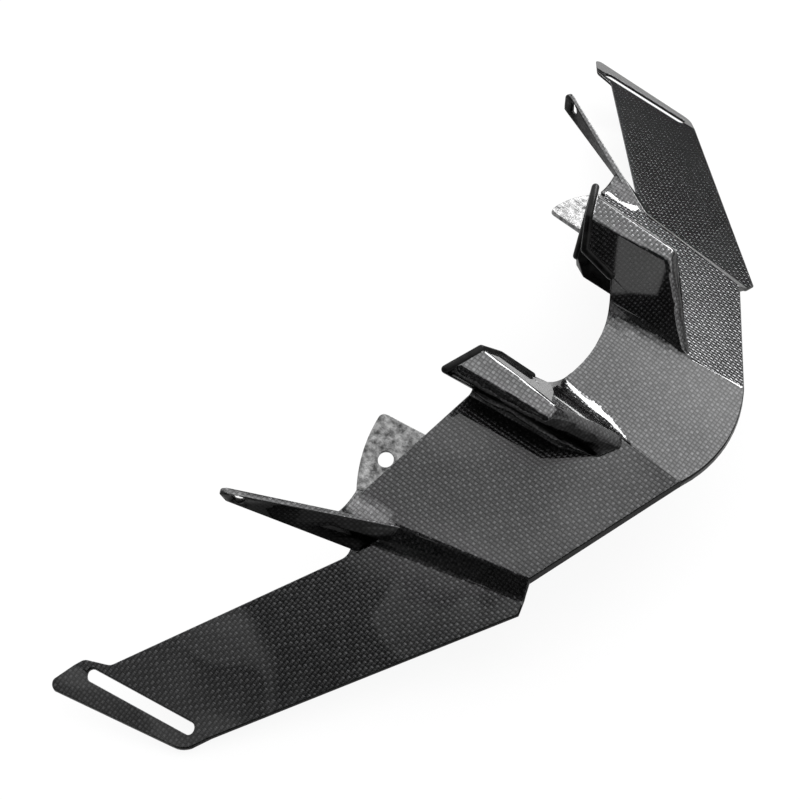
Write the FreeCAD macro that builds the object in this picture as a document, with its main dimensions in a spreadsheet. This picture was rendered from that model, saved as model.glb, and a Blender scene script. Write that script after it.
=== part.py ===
# Lower front fairing of a motorbike: a one-piece carbon laminate with two winglets, two hollow
# fins beside the centre channel and two rear arms, plus two drilled tabs bonded under its rear edge.
# Millimetres. X runs across the bike, -Y to the front, +Z up. The shell is symmetric about X = 0.
import FreeCAD, Part
import Sketcher
import math
import os

doc = FreeCAD.newDocument("lower_front_fairing")

# Driving dimensions. "half" sizes run from the middle plane, "back" sizes from the two nose creases.
sheet = doc.addObject("Spreadsheet::Sheet", "Dim")
SIZES = [
    ("laminate", 2.0, "wall of the moulded shell"),
    ("nose_half", 31.3, "middle plane to a nose crease"),
    ("nose_lead", 6.5, "nose curve ahead of the creases"),
    ("floor_rise", 17.9, "degrees, channel floor climbing to the rear"),
    ("crease_toe", 5.2, "degrees, creases closing to the rear"),
    ("panel_fall", 19.7, "degrees, side panels falling outboard"),
    ("shoulder_half", 102.5, "front end of the fold above the winglet"),
    ("shoulder_back", 37.5, "front end of the fold above the winglet"),
    ("fold_splay", 11.3, "degrees, folds opening to the rear"),
    ("step_width", 6.5, "width of the sloping step down to the winglet"),
    ("step_front", 13.0, "front edge of the step, from the fold to the winglet's leading edge"),
    ("step_drop", 7.35, "drop of the step at its front end"),
    ("fold_radius", 5.0, "radius along the folds"),
    ("step_radius", 8.0, "hollow radius at the winglet root"),
    ("wing_fall", 21.3, "degrees, winglet falling outboard"),
    ("wing_rise", 14.6, "degrees, winglet climbing to its rear edge"),
    ("tip_half", 252.0, "rear corner of the winglet tip"),
    ("tip_back", 210.5, "rear corner of the winglet tip"),
    ("tip_front_inset", 11.5, "front corner of the tip, in from its rear corner"),
    ("tip_chord", 71.0, "front corner of the tip, ahead of its rear corner"),
    ("tip_droop", 10.0, "degrees, tip band bent below the winglet"),
    ("tip_radius", 2.5, "rear corner radius of the tip"),
    ("tip_front_radius", 14.0, "front corner radius of the tip"),
    ("heel_inset", 18.0, "heel of the tip, in from the rear corner"),
    ("heel_lead", 11.5, "heel of the tip, ahead of the rear corner"),
    ("dip_inset", 22.3, "outer end of the winglet's rear edge, in from the tip"),
    ("dip_lead", 23.5, "outer end of the winglet's rear edge, ahead of the tip"),
    ("heel_radius", 5.0, "rounding on both sides of the heel"),
    ("root_gap", 8.4, "inner end of the winglet's rear edge, outboard of the step's foot"),
    ("root_lead", 9.5, "inner end of the winglet's rear edge, ahead of the panel's rear edge"),
    ("root_radius", 7.0, "hollow corner at the winglet's rear root"),
    ("slot_width", 5.5, "slot beside the tip band"),
    ("slot_front_inset", 8.7, "front end of the slot, in from the tip's front corner"),
    ("slot_front_lag", 2.5, "front end of the slot, behind the tip's front corner"),
    ("slot_rear_inset", 14.7, "rear end of the slot, in from the tip's rear corner"),
    ("slot_rear_lead", 18.5, "rear end of the slot, ahead of the tip's rear corner"),
    ("lip_set", 1.6, "front edge's top behind the nose creases, above the lip's foot"),
    ("lip_depth", 4.4, "turned-down lip along the nose and the panels' front edges"),
    ("lip_wall", 2.4, "wall of the turned-down lip, measured along the bike"),
    ("rear_outer_back", 125.0, "rear edge of the panel at the fold"),
    ("rear_inner_half", 46.7, "rear edge of the panel at the fin"),
    ("rear_inner_back", 101.0, "rear edge of the panel at the fin"),
    ("notch_back", 66.5, "rear edge of the channel floor on the middle plane"),
    ("notch_half", 35.5, "side of the notch at the floor"),
    ("notch_side_back", 75.0, "side of the notch at the floor"),
    ("hook_half", 37.5, "inner corner of the fin's open end"),
    ("hook_back", 89.0, "inner corner of the fin's open end"),
    ("fin_height", 28.5, "fin roof above the channel floor"),
    ("fin_roof_fall", 5.7, "degrees, fin roof falling outboard"),
    ("fin_toe_back", 28.0, "foot of the fin's leading corner, on the crease"),
    ("fin_foot_half", 42.5, "foot of the fin's front outer corner"),
    ("fin_foot_back", 39.0, "foot of the fin's front outer corner"),
    ("fin_heel_half", 45.0, "foot of the fin's outer wall at the rear"),
    ("fin_tail_back", 86.0, "foot of the fin's inner wall at the rear"),
    ("fin_brow_half", 51.0, "inner end of the roof's front edge"),
    ("fin_brow_back", 52.5, "front edge of the fin roof"),
    ("fin_brow_width", 11.8, "roof width at its front edge"),
    ("fin_rear_half", 47.6, "inner end of the roof's rear edge"),
    ("fin_rear_back", 93.0, "inner end of the roof's rear edge"),
    ("fin_rear_width", 19.0, "roof width at its rear edge"),
    ("fin_sweep", 21.0, "degrees, rear edge of the roof swept back"),
    ("fin_radius", 4.0, "rounding of the fin's edges"),
    ("fin_haunch", 11.0, "reach of the hollow between the channel floor and the fin"),
    ("fin_skirt", 6.0, "reach of the hollow between the side panel and the fin"),
    ("fin_bead", 1.9, "radius of the rolled rim round the fin's open end"),
    ("arm_out", 34.8, "top of the arm's end, outboard of the panel's rear outer corner"),
    ("arm_reach", 43.5, "top of the arm's end, behind that corner"),
    ("arm_rise", 23.35, "top of the arm's end, above that corner"),
    ("arm_height", 11.0, "height of the arm's end"),
    ("arm_tilt", 15.0, "degrees, arm's end leaning outboard to the top"),
    ("arm_wall", 2.6, "wall of the arm"),
    ("arm_root", 26.0, "arm's top edge leaves the fold ahead of the panel's rear edge"),
    ("arm_gusset", 9.0, "panel's corner curls up into the arm from this far inboard of the fold"),
    ("arm_hole", 6.5, "width of the D-shaped hole in the arm's end"),
    ("arm_hole_inset", 7.5, "hole centre from the arm's end"),
    ("tab_hole", 7.5, "hole in a bonded tab"),
    ("tab_hole_inset", 26.4, "hole centre, in from the fold"),
    ("tab_hole_lead", 4.0, "hole centre, ahead of the panel's rear outer corner"),
    ("tab_inner", 19.0, "hole centre to the tab's straight side"),
    ("tab_apex", 12.7, "hole centre back to the tab's point"),
    ("tab_outer", 25.0, "hole centre to the tab's outer end"),
    ("tab_toe", 1.2, "hole centre back to the outer end of the curved side"),
    ("tab_sweep", 70.0, "radius of the tab's curved side"),
    ("tab_bond_inner", 27.8, "hole centre forward to the glued edge, inner end"),
    ("tab_bond_outer", 11.8, "hole centre forward to the glued edge, outer end"),
    ("tab_wall", 2.4, "wall of a tab"),
    ("tab_radius", 3.0, "corner radius of a tab"),
]
for row, (alias, value, note) in enumerate(SIZES, start=1):
    sheet.set(f"A{row}", note)
    sheet.set(f"B{row}", str(value))
    sheet.setAlias(f"B{row}", alias)
doc.recompute()


def size(alias):
    return float(sheet.get(alias))


def slope(alias):
    return math.tan(math.radians(size(alias)))


def feature(name, shape):
    item = doc.addObject("Part::Feature", name)
    item.Shape = shape
    return item


# Lines and planes of the moulding. All creases are straight, so the floor, the panels and the
# winglets are flat sheets that meet at rounded folds.
def crease_half(back):
    return size("nose_half") - back * slope("crease_toe")


def floor_height(back):
    return back * slope("floor_rise")


def panel_height(half, back):
    return floor_height(back) - (half - crease_half(back)) * slope("panel_fall")


def fold_half(back):
    return size("shoulder_half") + (back - size("shoulder_back")) * slope("fold_splay")


def wing_height(half, back):
    root_half = size("shoulder_half") + size("step_width")
    root_height = panel_height(size("shoulder_half"), size("shoulder_back")) - size("step_drop")
    outboard = (half - root_half) * slope("wing_fall")
    return root_height - outboard + (back - size("shoulder_back")) * slope("wing_rise")


def slot_ends():
    """Half and back of the slot's front end and of its rear end."""
    front_half = size("tip_half") - size("tip_front_inset") - size("slot_front_inset")
    front_back = size("tip_back") - size("tip_chord") + size("slot_front_lag")
    rear_half = size("tip_half") - size("slot_rear_inset")
    return (front_half, front_back), (rear_half, size("tip_back") - size("slot_rear_lead"))


def slot_half(back):
    (front_half, front_back), (rear_half, rear_back) = slot_ends()
    return front_half + (back - front_back) / (rear_back - front_back) * (rear_half - front_half)


def roof_height(half, back):
    return floor_height(back) + size("fin_height") - (half - size("fin_brow_half")) * slope("fin_roof_fall")


# Section drawing in planes across the bike: a row of corners becomes lines joined by tangent arcs.
def offset_row(corners, distance):
    """The corners moved by distance to the right of their direction, with mitred corners."""
    normals = []
    for (x0, z0), (x1, z1) in zip(corners, corners[1:]):
        length = math.hypot(x1 - x0, z1 - z0)
        normals.append(((z1 - z0) / length, (x0 - x1) / length))
    moved = []
    for index, (x, z) in enumerate(corners):
        before = normals[max(index - 1, 0)]
        after = normals[min(index, len(normals) - 1)]
        reach = distance / (1 + before[0] * after[0] + before[1] * after[1])
        moved.append((x + reach * (before[0] + after[0]), z + reach * (before[1] + after[1])))
    return moved


def rounded_row(corners, radii, back):
    """Edges through the corners at station back, each inner corner rounded by its radius."""
    points = [FreeCAD.Vector(x, back, z) for x, z in corners]
    edges = []
    start = points[0]
    for index, radius in enumerate(radii, start=1):
        corner = points[index]
        to_last = (points[index - 1] - corner).normalize()
        to_next = (points[index + 1] - corner).normalize()
        half_angle = to_last.getAngle(to_next) / 2
        reach = radius / math.tan(half_angle)
        sag = radius / math.sin(half_angle) - radius
        middle = corner + (to_last + to_next).normalize() * sag
        edges.append(Part.LineSegment(start, corner + to_last * reach).toShape())
        edges.append(Part.Arc(corner + to_last * reach, middle, corner + to_next * reach).toShape())
        start = corner + to_next * reach
    edges.append(Part.LineSegment(start, points[-1]).toShape())
    return edges


def turns_left(corners, index):
    (x0, z0), (x1, z1), (x2, z2) = corners[index - 1:index + 2]
    return (x1 - x0) * (z2 - z1) > (z1 - z0) * (x2 - x1)


def sheet_section(corners, radii, wall, back):
    """Closed outline of a wall that lies under a row of corners."""
    lower = offset_row(corners, wall)
    lower_radii = []
    for index, radius in enumerate(radii, start=1):
        lower_radii.append(radius + wall if turns_left(corners, index) else radius - wall)
    edges = rounded_row(corners, radii, back) + rounded_row(lower, lower_radii, back)
    for end in (0, -1):
        top = FreeCAD.Vector(corners[end][0], back, corners[end][1])
        bottom = FreeCAD.Vector(lower[end][0], back, lower[end][1])
        edges.append(Part.LineSegment(top, bottom).toShape())
    return Part.Wire(Part.__sortEdges__(edges))


# The moulded sheet of the right half, drawn past its edges and trimmed below: channel floor, side
# panel, step, winglet and drooped tip band, each at its own slope.
TRIM = 25.0
wall = size("laminate")


def sheet_row(back):
    """Corners of the sheet's top at a station, from the middle plane outwards."""
    fold = fold_half(back)
    foot = fold + size("step_width")
    tip = slot_half(back)
    tip_slope = math.tan(math.radians(size("wing_fall") + size("tip_droop")))
    return [
        (-TRIM, floor_height(back)),
        (crease_half(back), floor_height(back)),
        (fold, panel_height(fold, back)),
        (foot, wing_height(foot, back)),
        (tip, wing_height(tip, back)),
        (tip + 2 * TRIM, wing_height(tip, back) - 2 * TRIM * tip_slope),
    ]


row_radii = [size("fold_radius"), size("fold_radius"), size("step_radius"), size("fold_radius")]
row_backs = (-TRIM, size("tip_back") + TRIM)
sections = [sheet_section(sheet_row(back), row_radii, wall, back) for back in row_backs]
moulded = feature("MouldedSheet", Part.makeLoft(sections, True, True))

# Plan outline of the right half. Every corner is bound to the sheet, and the nose and the notch are
# arcs whose centres lie on the middle plane.
plan = doc.addObject("Sketcher::SketchObject", "PlanOutline")
FOLD_AT = "Dim.shoulder_half + (%s - Dim.shoulder_back) * tan(Dim.fold_splay * 1 deg)"
ROOT_BACK = "(Dim.rear_outer_back - Dim.root_lead)"
PLAN_CORNERS = {
    "nose": ("0", "Dim.lip_set - Dim.nose_lead"),
    "crease": ("Dim.nose_half", "Dim.lip_set"),
    "shoulder": ("Dim.shoulder_half", "Dim.shoulder_back + Dim.lip_set"),
    "step": ("Dim.shoulder_half + Dim.step_front", "Dim.shoulder_back"),
    "tip_front": ("Dim.tip_half - Dim.tip_front_inset", "Dim.tip_back - Dim.tip_chord"),
    "tip": ("Dim.tip_half", "Dim.tip_back"),
    "heel": ("Dim.tip_half - Dim.heel_inset", "Dim.tip_back - Dim.heel_lead"),
    "dip": ("Dim.tip_half - Dim.dip_inset", "Dim.tip_back - Dim.dip_lead"),
    "root": (FOLD_AT % ROOT_BACK + " + Dim.step_width + Dim.root_gap", ROOT_BACK),
    "fold_end": (FOLD_AT % "Dim.rear_outer_back", "Dim.rear_outer_back"),
    "fin_end": ("Dim.rear_inner_half", "Dim.rear_inner_back"),
    "hook": ("Dim.hook_half", "Dim.hook_back"),
    "notch_side": ("Dim.notch_half", "Dim.notch_side_back"),
    "notch": ("0", "Dim.notch_back"),
}
PLAN_RADII = {
    "tip_front": "tip_front_radius",
    "tip": "tip_radius",
    "heel": "heel_radius",
    "dip": "heel_radius",
    "root": "root_radius",
}


def sketch_loop(sketch, corners, bows):
    """A closed loop through named, bound corners. A bow is an arc from its corner to the next one."""
    def value(expression):
        return float(sketch.evalExpression(expression))

    names = list(corners)
    pairs = list(zip(names, names[1:] + names[:1]))
    points = {name: FreeCAD.Vector(value(x), value(y), 0) for name, (x, y) in corners.items()}
    ends = {}
    for name, following in pairs:
        start, end = points[name], points[following]
        if name in bows:
            through = (start + end) / 2 + bows[name]
            edge = sketch.addGeometry(Part.Arc(start, through, end), False)
            backwards = (through - start).cross(end - through).z < 0
            ends[name] = (edge, 2, 1) if backwards else (edge, 1, 2)
        else:
            edge = sketch.addGeometry(Part.LineSegment(start, end), False)
            ends[name] = (edge, 1, 2)
    for name, following in pairs:
        edge, first, last = ends[name]
        next_edge, next_first, _ = ends[following]
        sketch.addConstraint(Sketcher.Constraint("Coincident", edge, last, next_edge, next_first))
        for kind, expression in zip(("DistanceX", "DistanceY"), corners[name]):
            bound = sketch.addConstraint(
                Sketcher.Constraint(kind, -1, 1, edge, first, value(expression)))
            sketch.setExpression(f"Constraints[{bound}]", expression)
    return ends


forward_bow = FreeCAD.Vector(1, -1, 0)
plan_ends = sketch_loop(plan, PLAN_CORNERS, {"nose": forward_bow, "notch_side": forward_bow})
for name in ("nose", "notch_side"):
    plan.addConstraint(Sketcher.Constraint("PointOnObject", plan_ends[name][0], 3, -2))
plan_block = doc.addObject("Part::Extrusion", "PlanBlock")
plan_block.Base = plan
plan_block.DirMode = "Custom"
plan_block.Dir = FreeCAD.Vector(0, 0, 1)
plan_block.Solid = True
plan_block.LengthFwd = 4 * TRIM
plan_block.LengthRev = 4 * TRIM
doc.recompute()


def corner_edges(shape, corners):
    """Numbers of a prism's upright edges that stand at the given (x, y) corners."""
    numbers = []
    for x, y in corners:
        for number, edge in enumerate(shape.Edges, start=1):
            feet = [math.hypot(vertex.X - x, vertex.Y - y) for vertex in edge.Vertexes]
            if len(feet) == 2 and max(feet) < 0.01:
                numbers.append(number)
    return numbers


rounded_plan = doc.addObject("Part::Fillet", "RoundedPlan")
rounded_plan.Base = plan_block
fillets = []
for name, radius in PLAN_RADII.items():
    spot = tuple(float(plan.evalExpression(expression)) for expression in PLAN_CORNERS[name])
    for number in corner_edges(plan_block.Shape, [spot]):
        fillets.append((number, size(radius), size(radius)))
rounded_plan.Edges = fillets
doc.recompute()

trimmed = doc.addObject("Part::Common", "TrimmedSheet")
trimmed.Base = moulded
trimmed.Tool = rounded_plan


# Turned-down lip along the nose, the panels' front edges and the front of the step. It is the part of
# the plan within one wall of those edges, between the sheet's top and the same top lowered.
def space_below(drops):
    """The space below the sheet's top, lowered by a drop at each corner of its row."""
    rings = []
    for back in row_backs:
        row = [(x, z - drop) for (x, z), drop in zip(sheet_row(back), drops)]
        ends = [FreeCAD.Vector(x, back, z) for x, z in (row[-1], row[0])]
        base = [FreeCAD.Vector(end.x, back, -8 * TRIM) for end in ends]
        sides = Part.makePolygon([ends[0], base[0], base[1], ends[1]])
        rings.append(Part.Wire(Part.__sortEdges__(rounded_row(row, row_radii, back) + sides.Edges)))
    return Part.makeLoft(rings, True, True)


lip_drops = [size("lip_depth")] * 3 + [wall] * 3
below_top = feature("BelowTop", space_below([0.0] * len(lip_drops)))
below_lip = feature("BelowLip", space_below(lip_drops))
plan_behind = feature("PlanBehind", rounded_plan.Shape.translated(FreeCAD.Vector(0, size("lip_wall"), 0)))
lip_strip = doc.addObject("Part::Cut", "LipStrip")
lip_strip.Base = rounded_plan
lip_strip.Tool = plan_behind
lip_space = doc.addObject("Part::Cut", "LipSpace")
lip_space.Base = below_top
lip_space.Tool = below_lip
lip = doc.addObject("Part::Common", "Lip")
lip.Base = lip_strip
lip.Tool = lip_space


# Solids with four straight corner lines, whose sides may be twisted.
def ruled_block(low, high):
    faces = []
    for corner in range(4):
        following = (corner + 1) % 4
        low_edge = Part.makeLine(low[corner], low[following])
        faces.append(Part.makeRuledSurface(low_edge, Part.makeLine(high[corner], high[following])))
    for ring in (low, high):
        front = Part.makeLine(ring[0], ring[1])
        faces.append(Part.makeRuledSurface(front, Part.makeLine(ring[3], ring[2])))
    skin = Part.makeCompound(faces)
    skin.sewShape()
    outer = skin.Shells[0]
    if Part.makeSolid(outer).Volume < 0:
        outer.reverse()
    return Part.makeSolid(outer)


def edge_between(shape, start, end):
    """The shape's straight edge that joins two corners."""
    for edge in shape.Edges:
        ends = [vertex.Point for vertex in edge.Vertexes]
        near = [min(point.distanceToPoint(corner) for point in ends) for corner in (start, end)]
        if len(ends) == 2 and max(near) < 0.01:
            return edge


# Hollow fin: a leaning block from its foot on the sheet to its sloping roof, with the same block one
# laminate smaller taken out of it and out of the sheet below. Its rear end and underside are open.
def fin_corners(inset, overrun):
    """Four feet and four roof corners of the fin, from the front inner corner round to the rear one."""
    toe_back = size("fin_toe_back") + 2 * inset
    foot_back = size("fin_foot_back") + inset
    heel_back = size("rear_inner_back") + overrun
    tail_back = size("fin_tail_back") + overrun
    foot_half = size("fin_foot_half")
    heel_half = size("fin_heel_half")
    footprint = [
        FreeCAD.Vector(crease_half(toe_back) + inset, toe_back, floor_height(toe_back)),
        FreeCAD.Vector(foot_half - inset, foot_back, panel_height(foot_half, foot_back)),
        FreeCAD.Vector(heel_half - inset, heel_back, panel_height(heel_half, heel_back)),
        FreeCAD.Vector(crease_half(tail_back) + inset, tail_back, floor_height(tail_back)),
    ]
    brow_back = size("fin_brow_back") + inset
    rear_back = size("fin_rear_back") + overrun
    rear_width = size("fin_rear_width")
    roof = []
    for half, back in (
        (size("fin_brow_half") + inset, brow_back),
        (size("fin_brow_half") + size("fin_brow_width") - inset, brow_back),
        (size("fin_rear_half") + rear_width - inset, rear_back + rear_width * slope("fin_sweep")),
        (size("fin_rear_half") + inset, rear_back),
    ):
        roof.append(FreeCAD.Vector(half, back, roof_height(half, back) - inset))
    return footprint, roof


def fin_block(inset, sink, overrun, radius):
    footprint, roof = fin_corners(inset, overrun)
    feet = [low - (high - low).normalize() * sink for low, high in zip(footprint, roof)]
    block = ruled_block(feet, roof)
    corner_lines = [(feet[0], roof[0]), (feet[1], roof[1])]
    roof_lines = [(roof[0], roof[1]), (roof[1], roof[2]), (roof[3], roof[0])]
    return block.makeFillet(radius, [edge_between(block, *line) for line in corner_lines + roof_lines])


fin_outer = feature("FinOuter", fin_block(0.0, wall / 2, 0.0, size("fin_radius")))
fin_inner = feature("FinInner", fin_block(wall, 4 * wall, TRIM, size("fin_radius") - wall))


# Hollows at the fin's feet: fills whose open side is a concave arc that runs out at the fin's toe.
def between(start, end, share):
    return start + (end - start) * share


def fill_ring(corner, first, second, reach):
    """Outline of a fill in the corner between two directions, bedded a little into both sides."""
    bed = wall / 16
    bisector = (first + second).normalize()
    half_angle = first.getAngle(second) / 2
    sunk = corner - bisector * bed
    nearest = reach * (1 - math.sin(half_angle)) / math.cos(half_angle)
    start, end = sunk + first * reach, sunk + second * reach
    arc = Part.Arc(start, sunk + bisector * nearest, end).toShape()
    sides = Part.makePolygon([end, corner - bisector * wall / 2, start])
    return Part.Wire([arc] + sides.Edges)


def foot_fill(feet, tops, away, reaches):
    """A fill along a foot line, from its share along that line to its reach."""
    rings = []
    for share, reach in reaches:
        corner = between(*feet, share)
        up_wall = (between(*tops, share) - corner).normalize()
        rings.append(fill_ring(corner, away, up_wall, reach))
    return Part.makeLoft(rings, True, True)


footprint, roof = fin_corners(0.0, 0.0)
inboard = FreeCAD.Vector(-1, 0, 0)
outboard = FreeCAD.Vector(1, 0, -slope("panel_fall")).normalize()
haunch = size("fin_haunch")
skirt = size("fin_skirt")
haunch_fill = feature("FinHaunch", foot_fill(
    (footprint[0], footprint[3]), (roof[0], roof[3]), inboard,
    ((0.0, haunch / 12), (0.25, haunch * 0.85), (1.2, haunch))))
skirt_fill = feature("FinSkirt", foot_fill(
    (footprint[1], footprint[2]), (roof[1], roof[2]), outboard,
    ((0.02, skirt / 12), (0.25, skirt), (1.1, skirt))))

# Rolled rim round the fin's open end: a round bar along the middle of the walls' rear edges, from the
# outer foot over the roof and down to the notch.
inner_wall = (footprint[3] - footprint[0]).cross(roof[3] - footprint[0]).normalize()
notch_x, notch_y = size("notch_half"), size("notch_side_back")
notch_drop = inner_wall.x * (notch_x - footprint[0].x) + inner_wall.y * (notch_y - footprint[0].y)
notch_point = FreeCAD.Vector(notch_x, notch_y, footprint[0].z - notch_drop / inner_wall.z)
hook_share = (roof[3].x - size("hook_half")) / (roof[3].x - footprint[3].x)
fin_middle = (footprint[2] + footprint[3] + roof[2] + roof[3]) / 4
corner_gap = 0.3 * size("fin_radius")
rim_points = []
for point, depth in (
    (between(footprint[2], roof[2], 0.1), wall / 4),
    (roof[2], corner_gap),
    (roof[3], corner_gap),
    (between(roof[3], footprint[3], hook_share), wall / 4),
    (notch_point, wall / 4),
):
    rim_points.append(point + (fin_middle - point).normalize() * depth)
bead = size("fin_bead")
rim_section = Part.Wire(Part.makeCircle(bead, rim_points[0], rim_points[1] - rim_points[0]))
rim_bar = Part.makePolygon(rim_points).makePipeShell([rim_section], True, False, 2)
rim_ends = [Part.makeSphere(bead, rim_points[end]) for end in (0, -1)]
fin_rim = feature("FinRim", rim_bar.fuse(rim_ends))

# Arm: a strap that leaves the rear end of the step, twists upright and carries a D-shaped hole for a
# fastener from the side.
rear_back = size("rear_outer_back")
fold_back = rear_back - size("arm_root")
root_back = rear_back - size("root_lead")
foot_back = root_back - wall
step_foot = fold_half(root_back) + size("step_width") + size("root_gap") - wall
tilt = math.radians(size("arm_tilt"))
root_top = FreeCAD.Vector(fold_half(fold_back), fold_back, panel_height(fold_half(fold_back), fold_back))
root_low = FreeCAD.Vector(step_foot, foot_back, wing_height(step_foot, foot_back))
rear_corner = FreeCAD.Vector(fold_half(rear_back), rear_back, panel_height(fold_half(rear_back), rear_back))
end_top = rear_corner + FreeCAD.Vector(size("arm_out"), size("arm_reach"), size("arm_rise"))
end_down = FreeCAD.Vector(-math.sin(tilt), 0, -math.cos(tilt))
end_low = end_top + end_down * size("arm_height")
along = (end_top - root_top).normalize()
root_in = (root_top - root_low).cross(along).normalize()
end_in = (end_top - end_low).cross(along).normalize()
root_depth = root_in * size("arm_wall")
end_depth = end_in * size("arm_wall")
root_corners = [root_top, root_low, root_low + root_depth, root_top + root_depth]
end_corners = [end_top, end_low, end_low + end_depth, end_top + end_depth]
rings = [Part.makePolygon(ring + ring[:1]) for ring in (root_corners, end_corners)]
strap = Part.makeLoft(rings, True, True)
end_edges = [
    edge_between(strap, end_top, end_top + end_depth),
    edge_between(strap, end_low, end_low + end_depth),
]
arm = feature("Arm", strap.makeFillet(size("arm_height") / 4, end_edges))

# Gusset: the panel's rear corner curls up into the arm's inner face on a hollow arc.
def gusset_ring(back, reach):
    share = (back - root_top.y) / (end_top.y - root_top.y)
    crest = between(root_top, end_top, share) + root_depth
    crest_low = between(crest, between(root_low, end_low, share) + root_depth, 0.5)
    flat_half = fold_half(back) - reach
    flat = FreeCAD.Vector(flat_half, back, panel_height(flat_half, back))
    crest.y = crest_low.y = back
    chord = crest - flat
    climb = math.atan2(chord.z, chord.x) + math.radians(size("panel_fall"))
    sag = chord.Length / 2 * math.tan(climb / 2)
    below = chord.cross(FreeCAD.Vector(0, 1, 0)).normalize() * -sag
    arc = Part.Arc(flat, (flat + crest) / 2 + below, crest).toShape()
    sides = Part.makePolygon([crest, crest_low, flat - FreeCAD.Vector(0, 0, wall), flat])
    return Part.Wire([arc] + sides.Edges)


gusset_reach = size("arm_gusset")
gusset_front = fold_back + size("arm_wall")
gusset = feature("ArmGusset", Part.makeLoft(
    [gusset_ring(gusset_front, gusset_reach / 2), gusset_ring(rear_back - wall / 8, gusset_reach)],
    True, True))

# D-shaped hole through the arm's end, with its flat towards the tip.
hole_radius = size("arm_hole") / 2
hole_at = (end_top + end_low) / 2 - along * size("arm_hole_inset")
flat_at = hole_at + along * hole_radius / 2
flat_reach = -end_down * hole_radius * math.sqrt(0.75)
bow = Part.Arc(flat_at + flat_reach, hole_at - along * hole_radius, flat_at - flat_reach)
flat = Part.LineSegment(flat_at - flat_reach, flat_at + flat_reach)
hole_face = Part.Face(Part.Wire([bow.toShape(), flat.toShape()]))
hole_face.translate(-end_in * TRIM / 2)
arm_hole = feature("ArmHole", hole_face.extrude(end_in * TRIM))

# Slot beside the tip band: two rounded ends joined by straight sides.
slot_front, slot_rear = (FreeCAD.Vector(half, back, -4 * TRIM) for half, back in slot_ends())
slot_along = (slot_rear - slot_front).normalize() * size("slot_width") / 2
slot_side = slot_along.cross(FreeCAD.Vector(0, 0, 1))
slot_edges = [
    Part.LineSegment(slot_front + slot_side, slot_rear + slot_side).toShape(),
    Part.Arc(slot_rear + slot_side, slot_rear + slot_along, slot_rear - slot_side).toShape(),
    Part.LineSegment(slot_rear - slot_side, slot_front - slot_side).toShape(),
    Part.Arc(slot_front - slot_side, slot_front - slot_along, slot_front + slot_side).toShape(),
]
tip_slot = feature("TipSlot", Part.Face(Part.Wire(slot_edges)).extrude(FreeCAD.Vector(0, 0, 8 * TRIM)))

# One half of the shell, then the mirrored half, joined on the middle plane.
fin_solid = doc.addObject("Part::MultiFuse", "FinSolid")
fin_solid.Shapes = [fin_outer, haunch_fill, skirt_fill]
fin_trimmed = doc.addObject("Part::Common", "FinTrimmed")
fin_trimmed.Base = fin_solid
fin_trimmed.Tool = rounded_plan
raised = doc.addObject("Part::MultiFuse", "RaisedSheet")
raised.Shapes = [trimmed, lip, fin_trimmed, arm, gusset]
opened = raised
for name, opening in (("FinOpened", fin_inner), ("ArmDrilled", arm_hole), ("TipSlotted", tip_slot)):
    cut = doc.addObject("Part::Cut", name)
    cut.Base = opened
    cut.Tool = opening
    cut.Refine = False
    opened = cut
right_half = doc.addObject("Part::Fuse", "RightHalf")
right_half.Base = opened
right_half.Tool = fin_rim
right_half.Refine = False
left_half = doc.addObject("Part::Mirroring", "LeftHalf")
left_half.Source = right_half
left_half.Normal = FreeCAD.Vector(1, 0, 0)
shell = doc.addObject("Part::Fuse", "Shell")
shell.Base = right_half
shell.Tool = left_half
shell.Refine = False
shell.Label = "fairing_shell"
doc.recompute()

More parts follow.
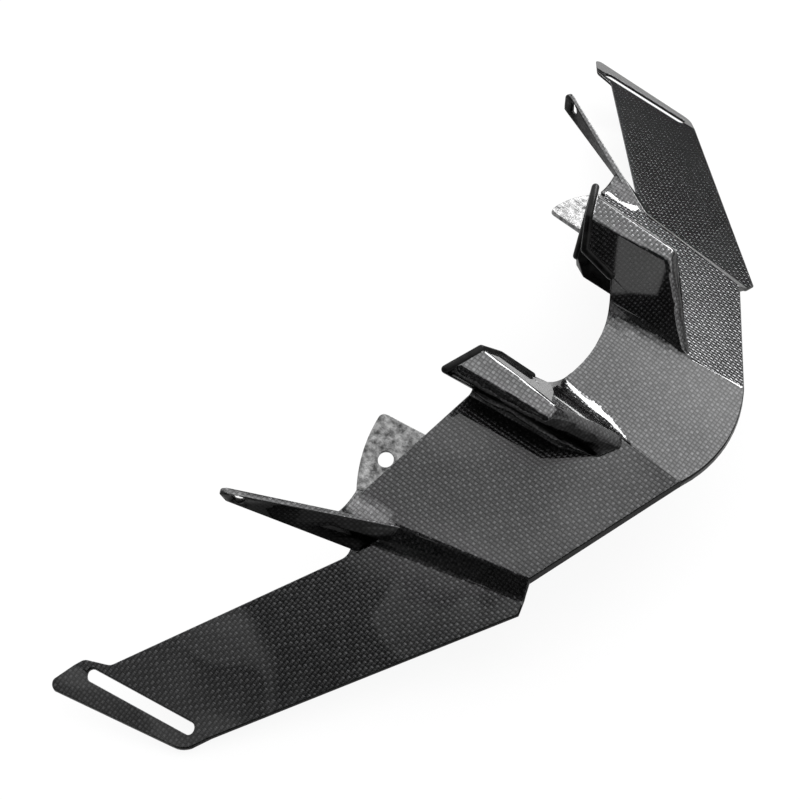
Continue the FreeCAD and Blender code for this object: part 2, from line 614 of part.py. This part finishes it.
# Mounting tabs: flat drilled plates, glued face to face under the rear edge of the side panels.
across = slope("panel_fall")
rearward = slope("floor_rise") - slope("crease_toe") * across
hole_back = rear_back - size("tab_hole_lead")
hole_half = fold_half(hole_back) - size("tab_hole_inset")
underside = panel_height(hole_half, hole_back) - wall * math.hypot(1, across)
tabs = []
for name, side in (("left_mount_tab", -1), ("right_mount_tab", 1)):
    body = doc.addObject("PartDesign::Body", name)
    body.Label = name
    base_plane = next(item for item in body.Origin.OriginFeatures if item.Role == "XY_Plane")
    outline = body.newObject("Sketcher::SketchObject", f"{name}_outline")
    outline.AttachmentSupport = [(base_plane, "")]
    outline.MapMode = "FlatFace"
    tab_corners = {
        "inner_bond": (f"{-side} * Dim.tab_inner", "-Dim.tab_bond_inner"),
        "outer_bond": (f"{side} * Dim.tab_outer", "-Dim.tab_bond_outer"),
        "toe": (f"{side} * Dim.tab_outer", "Dim.tab_toe"),
        "apex": (f"{-side} * Dim.tab_inner", "Dim.tab_apex"),
    }
    edges = sketch_loop(outline, tab_corners, {"toe": FreeCAD.Vector(side, 3, 0)})
    curve = outline.addConstraint(Sketcher.Constraint("Radius", edges["toe"][0], size("tab_sweep")))
    outline.setExpression(f"Constraints[{curve}]", "Dim.tab_sweep")
    plate = body.newObject("PartDesign::Pad", f"{name}_plate")
    plate.Profile = outline
    plate.setExpression("Length", "Dim.tab_wall")
    plate.Reversed = True
    doc.recompute()
    bore_sketch = body.newObject("Sketcher::SketchObject", f"{name}_bore")
    bore_sketch.AttachmentSupport = [(base_plane, "")]
    bore_sketch.MapMode = "FlatFace"
    ring = Part.Circle(FreeCAD.Vector(0, 0, 0), FreeCAD.Vector(0, 0, 1), size("tab_hole") / 2)
    circle = bore_sketch.addGeometry(ring, False)
    bore_sketch.addConstraint(Sketcher.Constraint("Coincident", circle, 3, -1, 1))
    bore_size = bore_sketch.addConstraint(Sketcher.Constraint("Diameter", circle, size("tab_hole")))
    bore_sketch.setExpression(f"Constraints[{bore_size}]", "Dim.tab_hole")
    bore = body.newObject("PartDesign::Pocket", f"{name}_hole")
    bore.Profile = bore_sketch
    bore.Type = "ThroughAll"
    doc.recompute()
    eased = body.newObject("PartDesign::Fillet", f"{name}_corners")
    spots = [tuple(float(outline.evalExpression(item)) for item in spot) for spot in tab_corners.values()]
    eased.Base = (bore, [f"Edge{number}" for number in corner_edges(bore.Shape, spots)])
    eased.setExpression("Radius", "Dim.tab_radius")
    doc.recompute()
    normal = FreeCAD.Vector(side * across, -rearward, 1).normalize()
    sideways = FreeCAD.Vector(1, 0, -side * across).normalize()
    tilt_turn = FreeCAD.Rotation(sideways, normal.cross(sideways), normal, "ZXY")
    body.Placement = FreeCAD.Placement(FreeCAD.Vector(side * hole_half, hole_back, underside), tilt_turn)
    tabs.append(body)
doc.recompute()

# The origin is the middle of the whole part's box.
nodes = [shell] + tabs
whole = Part.makeCompound([node.Shape for node in nodes]).optimalBoundingBox()
for node in nodes:
    node.Placement = FreeCAD.Placement(-whole.Center, FreeCAD.Rotation()) * node.Placement
doc.recompute()

for item in doc.Objects:
    if "Invalid" in item.State or "Error" in item.State:
        raise RuntimeError(f"{item.Label} failed: {item.State}")
os.makedirs("parts", exist_ok=True)
for node in nodes:
    if node.Shape.isNull() or not node.Shape.isValid():
        raise RuntimeError(f"{node.Label} has no valid shape")
    node.Shape.exportStep(f"parts/{node.Label}.step")
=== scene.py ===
import heapq
import math

import bmesh
import bpy
from mathutils import Matrix, Vector
from mathutils.bvhtree import BVHTree


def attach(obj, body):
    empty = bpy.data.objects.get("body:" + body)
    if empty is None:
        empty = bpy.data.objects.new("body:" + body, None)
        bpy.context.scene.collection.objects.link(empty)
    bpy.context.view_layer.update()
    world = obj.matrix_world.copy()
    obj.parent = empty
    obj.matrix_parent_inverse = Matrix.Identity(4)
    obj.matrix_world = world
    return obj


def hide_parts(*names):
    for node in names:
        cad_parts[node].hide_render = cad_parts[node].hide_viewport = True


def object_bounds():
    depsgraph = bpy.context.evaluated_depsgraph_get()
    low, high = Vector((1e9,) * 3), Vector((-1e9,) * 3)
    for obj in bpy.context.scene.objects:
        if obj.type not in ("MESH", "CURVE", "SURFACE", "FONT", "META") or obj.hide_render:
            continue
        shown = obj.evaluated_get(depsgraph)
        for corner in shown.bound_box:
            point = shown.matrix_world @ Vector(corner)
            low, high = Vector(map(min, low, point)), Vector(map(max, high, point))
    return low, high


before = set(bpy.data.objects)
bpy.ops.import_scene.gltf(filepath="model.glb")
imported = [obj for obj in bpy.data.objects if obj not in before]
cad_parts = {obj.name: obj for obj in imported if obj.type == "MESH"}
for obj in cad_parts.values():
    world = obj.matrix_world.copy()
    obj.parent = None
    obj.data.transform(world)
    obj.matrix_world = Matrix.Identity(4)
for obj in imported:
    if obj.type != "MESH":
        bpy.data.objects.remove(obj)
cad_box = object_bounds()


# The shell: one hand-laid carbon laminate with channel, panels, winglets, fins and arms in one moulding.
# One plain-weave cloth is draped over all of it, square to the bike, with a painted glint on its tow
# crowns, under a polished clear coat that is thin on steep walls, where the base colour is also darkened as
# painted shade. Trimmed edges and rolled rims are sealed in black.
# Lengths are in metres.

SHELL_EDGE = 0.0005
EDGE_STEPS = 2
TOW = 0.00192
WELD = 1e-6
SLIVER = 0.00005
FLAT_TURN = math.radians(0.25)
PATCH_TURN = math.radians(35.0)
SHARP_TURN = math.radians(50.0)
BAND_WIDTH = 0.0048
LEAST_BAND = 3e-5
ROLLED = 0.6
STRAY = 0.6
LEVEL = 0.9
SOUND_NORMAL = 0.5
FLAT_AREA = 2.5e-5
AREA_POWER = 1.5
LEAST_LENGTH = 1e-5
OWN_SHARE = 0.15
NORMAL_PASSES = 12
STEEP = (0.25, 0.6)
THIN_LACQUER_DEEP_SHADE = 0.15
COATED, SEALED, BAGGED = 0, 1, 2


def joined_copy(node):
    """A copy of a CAD node's mesh, welded and with its flats joined again."""
    work = bmesh.new()
    work.from_mesh(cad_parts[node].data)
    bmesh.ops.remove_doubles(work, verts=work.verts, dist=WELD)
    bmesh.ops.dissolve_degenerate(work, edges=work.edges, dist=SLIVER)
    bmesh.ops.dissolve_limit(work, angle_limit=FLAT_TURN, verts=work.verts, edges=work.edges)
    return work


def turn_at(edge):
    """The angle between the two faces of an edge."""
    return edge.calc_face_angle(0.0)


def choose_finish(work):
    """Seals narrow edge faces and rolled rims, and leaves skins that face down uncoated."""
    left = set(work.faces)
    for first in work.faces:
        if first not in left:
            continue
        left.remove(first)
        front = [first]
        patch = []
        while front:
            face = front.pop()
            patch.append(face)
            for edge in face.edges:
                if turn_at(edge) < PATCH_TURN:
                    fresh = [other for other in edge.link_faces if other in left]
                    left.difference_update(fresh)
                    front.extend(fresh)
        area = sum(face.calc_area() for face in patch)
        rims = [edge for face in patch for edge in face.edges if turn_at(edge) >= PATCH_TURN]
        outline = sum(edge.calc_length() for edge in rims)
        facing = sum((face.normal * face.calc_area() for face in patch), Vector())
        narrow = area > LEAST_BAND and 2.0 * area < BAND_WIDTH * outline
        if narrow or facing.length < ROLLED * area:
            finish = SEALED
        else:
            finish = BAGGED if facing.z < 0.0 else COATED
        for face in patch:
            face.material_index = finish


def ease_edges(work, edges, width):
    """Rounds edges. A corner that strays from the solid is put back on it, and into the CAD box."""
    solid = BVHTree.FromBMesh(work)
    bmesh.ops.bevel(
        work,
        geom=edges,
        offset=width,
        offset_type="OFFSET",
        segments=EDGE_STEPS,
        profile=0.5,
        affect="EDGES",
        material=-1,
        clamp_overlap=False,
    )
    for vert in work.verts:
        spot, _, _, gap = solid.find_nearest(vert.co)
        if gap > STRAY * width:
            vert.co = spot
        vert.co = [max(low, min(high, place)) for low, place, high in zip(cad_box[0], vert.co, cad_box[1])]
    work.normal_update()


def drape_cloth(work):
    """Unrolls the faces from the middle of the channel outwards, over the gentlest bends first, and keeps
    each corner's place on the flat cloth, in metres."""
    layer = work.loops.layers.uv.new("cloth")
    work.faces.index_update()
    start = max((face for face in work.faces if face.normal.z > LEVEL), key=lambda face: face.calc_area())
    across = (Vector((1.0, 0.0, 0.0)) - start.normal * start.normal.x).normalized()
    queue = [(0.0, start.index, start, start.verts[0].co, (0.0, 0.0), across, start.normal.cross(across))]
    done = set()
    while queue:
        turned, _, face, anchor, place, along, beside = heapq.heappop(queue)
        if face in done:
            continue
        done.add(face)
        for loop in face.loops:
            reach = loop.vert.co - anchor
            loop[layer].uv = (place[0] + reach.dot(along), place[1] + reach.dot(beside))
        for loop in face.loops:
            for other in loop.edge.link_faces:
                if other not in done and other.normal.length > SOUND_NORMAL:
                    roll = face.normal.rotation_difference(other.normal)
                    cost = turned + face.normal.angle(other.normal) + loop.edge.calc_length()
                    item = (cost, other.index, other, loop.vert.co, tuple(loop[layer].uv))
                    heapq.heappush(queue, item + (roll @ along, roll @ beside))


def even_normals(work):
    """Shading normals that stay true on the flats and turn evenly over folds and rounded edges."""
    work.verts.index_update()
    own = []
    for vert in work.verts:
        total = Vector()
        for face in vert.link_faces:
            total += face.normal * face.calc_area() ** AREA_POWER
        own.append(total.normalized() if total.length > 0.0 else vert.normal.copy())
    ties = []
    for vert in work.verts:
        largest = max((face.calc_area() for face in vert.link_faces), default=0.0)
        near = []
        for edge in vert.link_edges:
            near.append((edge.other_vert(vert).index, 1.0 / max(edge.calc_length(), LEAST_LENGTH)))
        total = sum(weight for _, weight in near)
        ties.append([] if largest > FLAT_AREA else [(index, weight / total) for index, weight in near])
    normals = own
    for _ in range(NORMAL_PASSES):
        eased = []
        for index, near in enumerate(ties):
            if near:
                mean = sum((normals[other] * weight for other, weight in near), Vector())
                eased.append((own[index] * OWN_SHARE + mean * (1.0 - OWN_SHARE)).normalized())
            else:
                eased.append(own[index])
        normals = eased
    return normals


def spray_lacquer_and_shade(work, normals):
    """Keeps on each face one factor for how much lacquer it took and how much painted shade darkens its
    base colour: steep walls, seen edge-on by the spray, took less lacquer and get a darker painted shade.
    """
    layer = work.faces.layers.float.new("lacquer_and_shade")
    for face in work.faces:
        rise = sum(normals[vert.index].z for vert in face.verts) / len(face.verts)
        face[layer] = max(THIN_LACQUER_DEEP_SHADE, min(1.0, (rise - STEEP[0]) / (STEEP[1] - STEEP[0])))


def finish_piece(work, normals, name, materials, node):
    """Puts a worked mesh into the scene as the piece that stands for a CAD node."""
    mesh = bpy.data.meshes.new(name)
    work.to_mesh(mesh)
    work.free()
    mesh.shade_smooth()
    mesh.normals_split_custom_set_from_vertices(normals)
    piece = bpy.data.objects.new(name, mesh)
    bpy.context.scene.collection.objects.link(piece)
    for material in materials:
        mesh.materials.append(material)
    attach(piece, "root")
    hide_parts(node)


def wired(tree, kind, settings, links):
    """A node with its input values set and its inputs linked."""
    node = tree.nodes.new(kind)
    for name, value in settings.items():
        if name in node.inputs:
            node.inputs[name].default_value = value
        else:
            setattr(node, name, value)
    for name, source in links.items():
        tree.links.new(source, node.inputs[name])
    return node


def maths(tree, operation, *values):
    """The outcome of a maths node on numbers and sockets."""
    node = tree.nodes.new("ShaderNodeMath")
    node.operation = operation
    for socket, value in zip(node.inputs, values):
        if isinstance(value, float):
            socket.default_value = value
        else:
            tree.links.new(value, socket)
    return node.outputs[0]


def plain_weave_group():
    """Tows that pass over and under each other, from a place on the cloth in metres, with a painted glint
    on their crowns that is stronger on one set of tows.
    """
    group = bpy.data.node_groups.new("plain_weave", "ShaderNodeTree")
    group.interface.new_socket("Cloth", in_out="INPUT", socket_type="NodeSocketVector")
    group.interface.new_socket("Tow", in_out="INPUT", socket_type="NodeSocketFloat")
    group.interface.new_socket("Height", in_out="OUTPUT", socket_type="NodeSocketFloat")
    group.interface.new_socket("Glint", in_out="OUTPUT", socket_type="NodeSocketFloat")
    group.interface.new_socket("Chance", in_out="OUTPUT", socket_type="NodeSocketFloat")
    source = group.nodes.new("NodeGroupInput")
    result = group.nodes.new("NodeGroupOutput")
    waver, edge_drop, crown_spread, fore_aft_shine = 0.0005, 0.75, 0.45, 0.65
    cloth = source.outputs["Cloth"]
    wander = wired(group, "ShaderNodeTexNoise", {"Scale": 45.0, "Detail": 1.0}, {"Vector": cloth})
    drift = wired(group, "ShaderNodeVectorMath", {"operation": "MULTIPLY_ADD"}, {})
    drift.inputs[1].default_value = (waver, waver, 0.0)
    group.links.new(wander.outputs["Color"], drift.inputs[0])
    group.links.new(cloth, drift.inputs[2])
    place = wired(group, "ShaderNodeSeparateXYZ", {}, {"Vector": drift.outputs[0]})
    across = maths(group, "DIVIDE", place.outputs["X"], source.outputs["Tow"])
    along = maths(group, "DIVIDE", place.outputs["Y"], source.outputs["Tow"])
    column = maths(group, "FLOOR", across)
    row = maths(group, "FLOOR", along)
    over = maths(group, "FLOORED_MODULO", maths(group, "ADD", column, row), 2.0)
    off_column = maths(group, "SUBTRACT", maths(group, "FRACT", across), 0.5)
    off_row = maths(group, "SUBTRACT", maths(group, "FRACT", along), 0.5)
    lengthwise = wired(group, "ShaderNodeMix", {}, {"Factor": over, "A": off_row, "B": off_column})
    sideways = wired(group, "ShaderNodeMix", {}, {"Factor": over, "A": off_column, "B": off_row})
    crown = maths(group, "COSINE", maths(group, "MULTIPLY", lengthwise.outputs["Result"], math.pi))
    from_middle = maths(group, "ABSOLUTE", maths(group, "MULTIPLY", sideways.outputs["Result"], 2.0))
    shoulder = maths(group, "POWER", from_middle, 2.0)
    round_tow = maths(group, "SUBTRACT", 1.0, maths(group, "MULTIPLY", shoulder, edge_drop))
    group.links.new(maths(group, "MULTIPLY", crown, round_tow), result.inputs["Height"])
    # Painted glint: the crowns of the tows are made lighter, and one set of tows more than the other,
    # standing in for the fibres' sheen.
    broad_crown = maths(group, "POWER", crown, crown_spread)
    sheen = maths(group, "MULTIPLY", broad_crown, maths(group, "SUBTRACT", 1.0, shoulder))
    share = maths(group, "MULTIPLY_ADD", over, 1.0 - fore_aft_shine, fore_aft_shine)
    group.links.new(maths(group, "MULTIPLY", sheen, share), result.inputs["Glint"])
    cell = wired(group, "ShaderNodeCombineXYZ", {}, {"X": column, "Y": row})
    chance = wired(group, "ShaderNodeTexWhiteNoise", {"noise_dimensions": "2D"},
                   {"Vector": cell.outputs[0]})
    group.links.new(chance.outputs["Value"], result.inputs["Chance"])
    return group


def new_finish(name):
    """A new material, with its nodes and its shader."""
    material = bpy.data.materials.new(name)
    material.use_nodes = True
    return material, material.node_tree, material.node_tree.nodes["Principled BSDF"]


def laid_cloth(tree, weave):
    """The weave, at each corner's place on the flat cloth."""
    cloth = wired(tree, "ShaderNodeUVMap", {"uv_map": "cloth"}, {})
    return wired(tree, "ShaderNodeGroup", {"node_tree": weave, "Tow": TOW}, {"Cloth": cloth.outputs[0]})


def blotches(tree, scale, detail):
    """Soft noise that is fixed to the piece."""
    spot = tree.nodes.new("ShaderNodeTexCoord").outputs["Object"]
    noise = wired(tree, "ShaderNodeTexNoise", {"Scale": scale, "Detail": detail}, {"Vector": spot})
    return noise.outputs[0]


def coated_carbon(weave):
    """Dark fibre cloth with painted glints on its tow crowns under a clear coat that is not quite flat."""
    material, tree, shader = new_finish("coated_carbon")
    shader.inputs["Metallic"].default_value = 0.9
    shader.inputs["Coat Roughness"].default_value = 0.03
    shader.inputs["Coat IOR"].default_value = 1.5
    shader.inputs["Specular Tint"].default_value = (0.15, 0.15, 0.15, 1.0)
    fabric = laid_cloth(tree, weave)
    bump = wired(tree, "ShaderNodeBump", {"Strength": 1.0, "Distance": 0.00007},
                 {"Height": fabric.outputs["Height"]})
    tree.links.new(bump.outputs[0], shader.inputs["Normal"])
    # Painted glint: the base colour goes from dark to bright with the weave's glint.
    tone = wired(tree, "ShaderNodeMix", {"data_type": "RGBA"}, {})
    dark, bright = (socket for socket in tone.inputs if socket.type == "RGBA")
    dark.default_value = (0.006, 0.006, 0.0062, 1.0)
    bright.default_value = (0.08, 0.0805, 0.082, 1.0)
    tree.links.new(fabric.outputs["Glint"], tone.inputs["Factor"])
    spread = wired(tree, "ShaderNodeMapRange", {"To Min": 0.8, "To Max": 1.25},
                   {"Value": fabric.outputs["Chance"]})
    mixed = next(socket for socket in tone.outputs if socket.type == "RGBA")
    varied = wired(tree, "ShaderNodeVectorMath", {"operation": "SCALE"}, {"Scale": spread.outputs[0]})
    tree.links.new(mixed, varied.inputs[0])
    lacquer_and_shade = wired(tree, "ShaderNodeAttribute", {"attribute_name": "lacquer_and_shade"}, {}).outputs["Fac"]
    # Painted shade: the base colour is darkened on steep walls by the same factor that thins the coat.
    wall_shaded_colour = wired(tree, "ShaderNodeVectorMath", {"operation": "SCALE"}, {"Scale": lacquer_and_shade})
    tree.links.new(varied.outputs[0], wall_shaded_colour.inputs[0])
    tree.links.new(wall_shaded_colour.outputs[0], shader.inputs["Base Color"])
    tree.links.new(lacquer_and_shade, shader.inputs["Coat Weight"])
    rough = wired(tree, "ShaderNodeMapRange", {"To Min": 0.22, "To Max": 0.14},
                  {"Value": fabric.outputs["Height"]})
    tree.links.new(rough.outputs[0], shader.inputs["Roughness"])
    flow = wired(tree, "ShaderNodeBump", {"Strength": 1.0, "Distance": 0.0005},
                 {"Height": blotches(tree, scale=16.0, detail=1.0)})
    tree.links.new(flow.outputs[0], shader.inputs["Coat Normal"])
    return material


def sealed_edge():
    """Black sealer on the trimmed edges, rubbed a little paler here and there."""
    material, tree, shader = new_finish("sealed_edge")
    shader.inputs["Specular IOR Level"].default_value = 0.08
    rub = blotches(tree, scale=220.0, detail=3.0)
    worn = {"From Min": 0.4, "From Max": 0.8, "To Min": 0.002, "To Max": 0.012}
    tone = wired(tree, "ShaderNodeMapRange", worn, {"Value": rub})
    tree.links.new(tone.outputs[0], shader.inputs["Base Color"])
    gloss = wired(tree, "ShaderNodeMapRange", {"To Min": 0.18, "To Max": 0.4}, {"Value": rub})
    tree.links.new(gloss.outputs[0], shader.inputs["Roughness"])
    return material


def bag_side(weave):
    """The uncoated back of the laminate: the same cloth, drowned in dull resin."""
    material, tree, shader = new_finish("bag_side")
    shader.inputs["Specular IOR Level"].default_value = 0.12
    fabric = laid_cloth(tree, weave)
    bump = wired(tree, "ShaderNodeBump", {"Strength": 1.0, "Distance": 0.0001},
                 {"Height": fabric.outputs["Height"]})
    tree.links.new(bump.outputs[0], shader.inputs["Normal"])
    tone = wired(tree, "ShaderNodeMapRange", {"To Min": 0.004, "To Max": 0.014},
                 {"Value": fabric.outputs["Height"]})
    tree.links.new(tone.outputs[0], shader.inputs["Base Color"])
    rough = wired(tree, "ShaderNodeMapRange", {"To Min": 0.6, "To Max": 0.45},
                  {"Value": fabric.outputs["Chance"]})
    tree.links.new(rough.outputs[0], shader.inputs["Roughness"])
    return material


def thickness(face):
    """The height of a face over its longest edge."""
    return 2.0 * face.calc_area() / max(edge.calc_length() for edge in face.edges)


def crisp_edges(work):
    """The sharp edges between sound faces, slivers left out."""
    sharp = [edge for edge in work.edges if edge.is_manifold and turn_at(edge) > SHARP_TURN]
    return [edge for edge in sharp if min(thickness(face) for face in edge.link_faces) > 2.0 * SLIVER]


weave = plain_weave_group()
shell_finishes = (coated_carbon(weave), sealed_edge(), bag_side(weave))
shell_mesh = joined_copy("fairing_shell")
choose_finish(shell_mesh)
ease_edges(shell_mesh, crisp_edges(shell_mesh), SHELL_EDGE)
drape_cloth(shell_mesh)
shell_normals = even_normals(shell_mesh)
spray_lacquer_and_shade(shell_mesh, shell_normals)
finish_piece(shell_mesh, shell_normals, "shell", shell_finishes, "fairing_shell")


# The two mount tabs: small drilled plates of rough, uncoated laminate, bonded under the rear edge of
# the side panels.

TAB_EDGE = 0.0004


def raw_laminate():
    """Blotchy resin-rich laminate with patches of bare fibre."""
    material, tree, shader = new_finish("raw_laminate")
    shader.inputs["Roughness"].default_value = 0.3
    patches = blotches(tree, scale=260.0, detail=3.0)
    ramp = wired(tree, "ShaderNodeValToRGB", {}, {"Fac": patches})
    low, high = ramp.color_ramp.elements
    low.position = 0.35
    low.color = (0.04, 0.04, 0.04, 1.0)
    high.position = 0.72
    high.color = (0.42, 0.42, 0.42, 1.0)
    tree.links.new(ramp.outputs[0], shader.inputs["Base Color"])
    bump = wired(tree, "ShaderNodeBump", {"Strength": 0.8, "Distance": 0.0012}, {"Height": patches})
    tree.links.new(bump.outputs[0], shader.inputs["Normal"])
    return material


laminate = raw_laminate()
for side in ("left", "right"):
    tab_mesh = joined_copy(side + "_mount_tab")
    ease_edges(tab_mesh, crisp_edges(tab_mesh), TAB_EDGE)
    tab_normals = even_normals(tab_mesh)
    finish_piece(tab_mesh, tab_normals, side + "_tab", (laminate,), side + "_mount_tab")


# The stage: a white floor under the part, one long lamp to the right, a small lit card that mirrors in a
# fin's wall, a room that mirrors in the lacquer, and the camera at the photograph's angle.

FLOOR_SPAN = 80.0
FLOOR_GAP = 0.002
PLAIN_WHITE = 0.9


def flat_sheet(name, width, depth, height):
    """A flat rectangle, facing up."""
    work = bmesh.new()
    bmesh.ops.create_grid(work, x_segments=1, y_segments=1, size=0.5)
    bmesh.ops.scale(work, vec=(width, depth, 1.0), verts=work.verts)
    bmesh.ops.translate(work, vec=(0.0, 0.0, height), verts=work.verts)
    mesh = bpy.data.meshes.new(name)
    work.to_mesh(mesh)
    work.free()
    sheet = bpy.data.objects.new(name, mesh)
    bpy.context.scene.collection.objects.link(sheet)
    return sheet


def white_floor():
    """White paper that is seen as plain white, with a faint shadow."""
    material, tree, shader = new_finish("white_floor")
    tree.nodes.remove(shader)
    paper = wired(tree, "ShaderNodeBsdfDiffuse", {"Color": (0.8, 0.8, 0.8, 1.0)}, {})
    glow = wired(tree, "ShaderNodeEmission", {"Strength": 1.0}, {})
    path = tree.nodes.new("ShaderNodeLightPath")
    seen = path.outputs["Is Camera Ray"]
    for kind in ("Is Glossy Ray", "Is Transmission Ray"):
        seen = maths(tree, "MAXIMUM", seen, path.outputs[kind])
    mix = tree.nodes.new("ShaderNodeMixShader")
    tree.links.new(maths(tree, "MULTIPLY", seen, PLAIN_WHITE), mix.inputs[0])
    tree.links.new(paper.outputs[0], mix.inputs[1])
    tree.links.new(glow.outputs[0], mix.inputs[2])
    tree.links.new(mix.outputs[0], tree.nodes["Material Output"].inputs["Surface"])
    return material


floor = flat_sheet("floor", FLOOR_SPAN, FLOOR_SPAN, cad_box[0].z - FLOOR_GAP)
floor.data.materials.append(white_floor())


def soft_lamp(name, place, aim, width, height, power):
    """A rectangular soft lamp that faces a point."""
    lamp = bpy.data.lights.new(name, "AREA")
    lamp.shape = "RECTANGLE"
    lamp.size = width
    lamp.size_y = height
    lamp.energy = power
    holder = bpy.data.objects.new(name, lamp)
    holder.location = place
    holder.visible_camera = False
    holder.rotation_euler = (Vector(aim) - Vector(place)).to_track_quat("-Z", "Y").to_euler()
    bpy.context.scene.collection.objects.link(holder)


soft_lamp("right_window", place=(1.48, -0.08, 0.68), aim=(0.0, 0.0, 0.0),
          width=1.0, height=0.4, power=22.0)
soft_lamp("left_card", place=(-0.369, -0.131, 0.301), aim=(0.046, -0.036, 0.041),
          width=0.042, height=0.042, power=0.007)


def studio_world():
    """A dim room that is brighter to the right, with a dark beam and pale patches on the left."""
    world = bpy.data.worlds.new("studio")
    world.use_nodes = True
    tree = world.node_tree
    direction = tree.nodes.new("ShaderNodeTexCoord").outputs["Generated"]
    lumps = wired(tree, "ShaderNodeTexNoise", {"Scale": 7.0, "Detail": 2.0}, {"Vector": direction})
    parts = wired(tree, "ShaderNodeSeparateXYZ", {}, {"Vector": direction})
    bend = 0.16
    bent = maths(tree, "MULTIPLY_ADD", lumps.outputs[0], bend, parts.outputs["X"])
    turned = wired(tree, "ShaderNodeMapRange", {"From Min": bend / 2.0 - 1.0, "From Max": bend / 2.0 + 1.0},
                   {"Value": bent})
    ramp = wired(tree, "ShaderNodeValToRGB", {}, {"Fac": turned.outputs[0]})
    stops = ((-1.0, 0.01), (-0.75, 0.02), (-0.65, 0.2), (-0.43, 0.22), (-0.40, 0.015), (-0.29, 0.02),
             (-0.24, 0.36), (-0.1, 0.5), (0.1, 0.65), (0.3, 0.9), (0.56, 0.9), (0.72, 0.55), (0.8, 0.45),
             (1.0, 0.2))
    while len(ramp.color_ramp.elements) < len(stops):
        ramp.color_ramp.elements.new(0.5)
    for element, (across, level) in zip(ramp.color_ramp.elements, stops):
        element.position = (across + 1.0) / 2.0
        element.color = (level, level, level, 1.0)
    cards = wired(tree, "ShaderNodeTexNoise", {"Scale": 13.0, "Detail": 1.0, "Distortion": 0.6},
                  {"Vector": direction})
    patch = wired(tree, "ShaderNodeMapRange", {"From Min": 0.54, "From Max": 0.59, "To Max": 0.3},
                  {"Value": cards.outputs[0]})
    brighter = maths(tree, "MAXIMUM", ramp.outputs[0], patch.outputs[0])
    tree.links.new(brighter, tree.nodes["Background"].inputs["Color"])
    higher = {"From Min": 0.13, "From Max": 0.45, "To Min": 0.3, "To Max": 3.0}
    climb = wired(tree, "ShaderNodeMapRange", higher, {"Value": parts.outputs["Z"]})
    uneven = {"From Min": 0.35, "From Max": 0.65, "To Min": 0.5, "To Max": 1.5}
    clouds = wired(tree, "ShaderNodeMapRange", uneven, {"Value": lumps.outputs[0]})
    right = wired(tree, "ShaderNodeMapRange", {"From Min": -0.35, "From Max": -0.25},
                  {"Value": parts.outputs["X"]})
    rear = wired(tree, "ShaderNodeMapRange", {"From Min": -0.15, "From Max": 0.05, "To Min": 0.1},
                 {"Value": parts.outputs["Y"]})
    lit = maths(tree, "MAXIMUM", right.outputs[0], rear.outputs[0])
    ceiling = maths(tree, "MULTIPLY", climb.outputs[0], clouds.outputs[0])
    tree.links.new(maths(tree, "MULTIPLY", ceiling, lit), tree.nodes["Background"].inputs["Strength"])
    return world


bpy.context.scene.world = studio_world()

eye = bpy.data.cameras.new("photo_camera")
eye.lens = 72.0
eye.sensor_width = 36.0
eye.clip_end = 100.0
camera = bpy.data.objects.new("photo_camera", eye)
camera.location = (-0.423538, -0.300223, 0.584505)
look = Vector((0.47782, 0.43923, -0.76077))
camera_up = Vector((0.67481, 0.37094, 0.63799))
camera_right = look.cross(camera_up).normalized()
camera.rotation_euler = Matrix((camera_right, camera_up, -look)).transposed().to_euler()
bpy.context.scene.collection.objects.link(camera)
bpy.context.scene.camera = camera
bpy.context.scene.view_settings.view_transform = "Standard"
